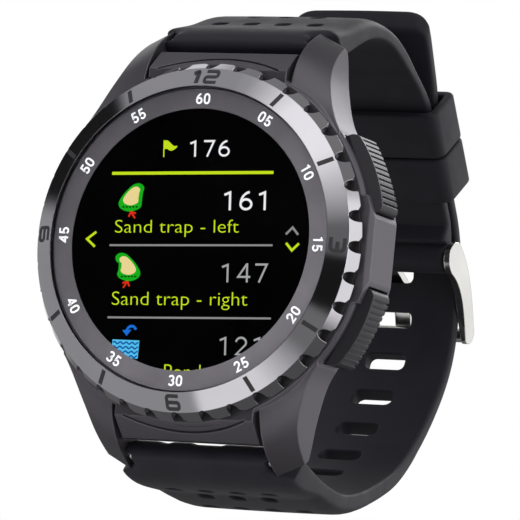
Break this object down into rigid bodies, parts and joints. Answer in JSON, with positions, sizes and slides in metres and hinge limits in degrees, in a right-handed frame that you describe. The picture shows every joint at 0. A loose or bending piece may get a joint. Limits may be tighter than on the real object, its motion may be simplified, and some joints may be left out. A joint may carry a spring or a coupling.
{
  "type": "golf gps watch",
  "caption": "Round golf watch with a notched metal bezel, colour display, ribbed side buttons and a buckled silicone strap.",
  "frame": {"origin": "dial axis at the flat outer face of the case back", "axes": "+Z towards 12 o'clock, +X towards 3 o'clock, the dial faces -Y and the strap loop runs to +Y"},
  "size_m": [0.05, 0.0715, 0.0729],
  "materials": {
    "case": "satin dark grey coating",
    "bezel": "polished gunmetal",
    "rubber_black": "matte",
    "glass": "clear polished",
    "ring_print": "matte printed",
    "display": "gloss black",
    "plastic_black": "moulded",
    "board": "solder mask",
    "shield": "tinned",
    "ceramic": "ceramic",
    "pouch": "foil",
    "steel": "polished",
    "spring_steel": "drawn wire",
    "gold": "gold plated",
    "button": "satin moulded",
    "silicone": "matte silicone",
    "flex": "polyimide film",
    "cover_metal": "satin"
  },
  "bodies": {
    "watch": {"case_middle": "case", "bezel_ring": "bezel", "bezel_gasket": "rubber_black", "cover_glass": "glass", "minute_ring": "ring_print", "display_panel": "display", "display_bracket": "plastic_black", "display_flex": "flex", "main_board": "board", "radio_shield": "shield", "gps_antenna": "ceramic", "battery": "pouch", "vibration_motor_case": "shield", "inner_frame": "plastic_black", "back_cover": "cover_metal", "back_seal": "rubber_black", "back_screws": "steel", "contact_insulator": "plastic_black", "charging_contacts": "gold", "upper_button_spring": "spring_steel", "upper_button_switch": "plastic_black", "lower_button_spring": "spring_steel", "lower_button_switch": "plastic_black", "upper_bar_tube": "steel", "upper_bar_spring": "spring_steel", "lower_bar_tube": "steel", "lower_bar_spring": "spring_steel", "upper_strap": "silicone", "lower_strap": "silicone", "fixed_keeper": "silicone"},
    "upper_button": {"upper_button": "button", "upper_button_clip": "spring_steel", "upper_button_seal": "rubber_black"},
    "lower_button": {"lower_button": "button", "lower_button_clip": "spring_steel", "lower_button_seal": "rubber_black"},
    "vibration_rotor": {"vibration_rotor": "steel"},
    "upper_bar_left_tip": {"upper_bar_left_tip": "steel"},
    "upper_bar_right_tip": {"upper_bar_right_tip": "steel"},
    "lower_bar_left_tip": {"lower_bar_left_tip": "steel"},
    "lower_bar_right_tip": {"lower_bar_right_tip": "steel"},
    "sliding_keeper": {"sliding_keeper": "silicone"},
    "buckle": {"buckle_frame": "steel", "buckle_bar_tube": "steel", "buckle_bar_spring": "spring_steel"},
    "buckle_tang": {"buckle_tang": "steel"},
    "buckle_bar_left_tip": {"buckle_bar_left_tip": "steel"},
    "buckle_bar_right_tip": {"buckle_bar_right_tip": "steel"}
  },
  "joints": [
    {"name": "upper_button_press", "type": "slide", "parent": "watch", "child": "upper_button", "axis": [-0.91, 0, -0.4147], "range_m": [0, 0.0008], "stiffness_N_per_m": 2000, "springref_m": -0.0005, "deforming": ["upper_button_spring"]},
    {"name": "lower_button_press", "type": "slide", "parent": "watch", "child": "lower_button", "axis": [-0.91, 0, 0.4147], "range_m": [0, 0.0008], "stiffness_N_per_m": 2000, "springref_m": -0.0005, "deforming": ["lower_button_spring"]},
    {"name": "upper_bar_left_tip_slide", "type": "slide", "parent": "watch", "child": "upper_bar_left_tip", "axis": [1, 0, 0], "range_m": [0, 0.001], "stiffness_N_per_m": 1500, "springref_m": -0.0005, "deforming": ["upper_bar_spring"]},
    {"name": "upper_bar_right_tip_slide", "type": "slide", "parent": "watch", "child": "upper_bar_right_tip", "axis": [-1, 0, 0], "range_m": [0, 0.001], "stiffness_N_per_m": 1500, "springref_m": -0.0005, "deforming": ["upper_bar_spring"]},
    {"name": "lower_bar_left_tip_slide", "type": "slide", "parent": "watch", "child": "lower_bar_left_tip", "axis": [1, 0, 0], "range_m": [0, 0.001], "stiffness_N_per_m": 1500, "springref_m": -0.0005, "deforming": ["lower_bar_spring"]},
    {"name": "lower_bar_right_tip_slide", "type": "slide", "parent": "watch", "child": "lower_bar_right_tip", "axis": [-1, 0, 0], "range_m": [0, 0.001], "stiffness_N_per_m": 1500, "springref_m": -0.0005, "deforming": ["lower_bar_spring"]},
    {"name": "buckle_bar_left_tip_slide", "type": "slide", "parent": "buckle", "child": "buckle_bar_left_tip", "axis": [1, 0, 0], "range_m": [0, 0.001], "stiffness_N_per_m": 1500, "springref_m": -0.0005, "deforming": ["buckle_bar_spring"]},
    {"name": "buckle_bar_right_tip_slide", "type": "slide", "parent": "buckle", "child": "buckle_bar_right_tip", "axis": [-1, 0, 0], "range_m": [0, 0.001], "stiffness_N_per_m": 1500, "springref_m": -0.0005, "deforming": ["buckle_bar_spring"]},
    {"name": "vibration_motor_spin", "type": "hinge", "parent": "watch", "child": "vibration_rotor", "pos_m": [0.0139, -0.00335, 0], "axis": [0, -1, 0], "continuous": true},
    {"name": "buckle_swing", "type": "hinge", "parent": "watch", "child": "buckle", "pos_m": [0, 0.048, 0.0069], "axis": [1, 0, 0], "range_deg": [0, 4]},
    {"name": "tang_swing", "type": "hinge", "parent": "buckle", "child": "buckle_tang", "pos_m": [0, 0.048, 0.0069], "axis": [1, 0, 0], "range_deg": [0, 4]},
    {"name": "keeper_slide", "type": "slide", "parent": "watch", "child": "sliding_keeper", "axis": [0, 0.6, -0.8], "range_m": [0, 0.004]}
  ]
}
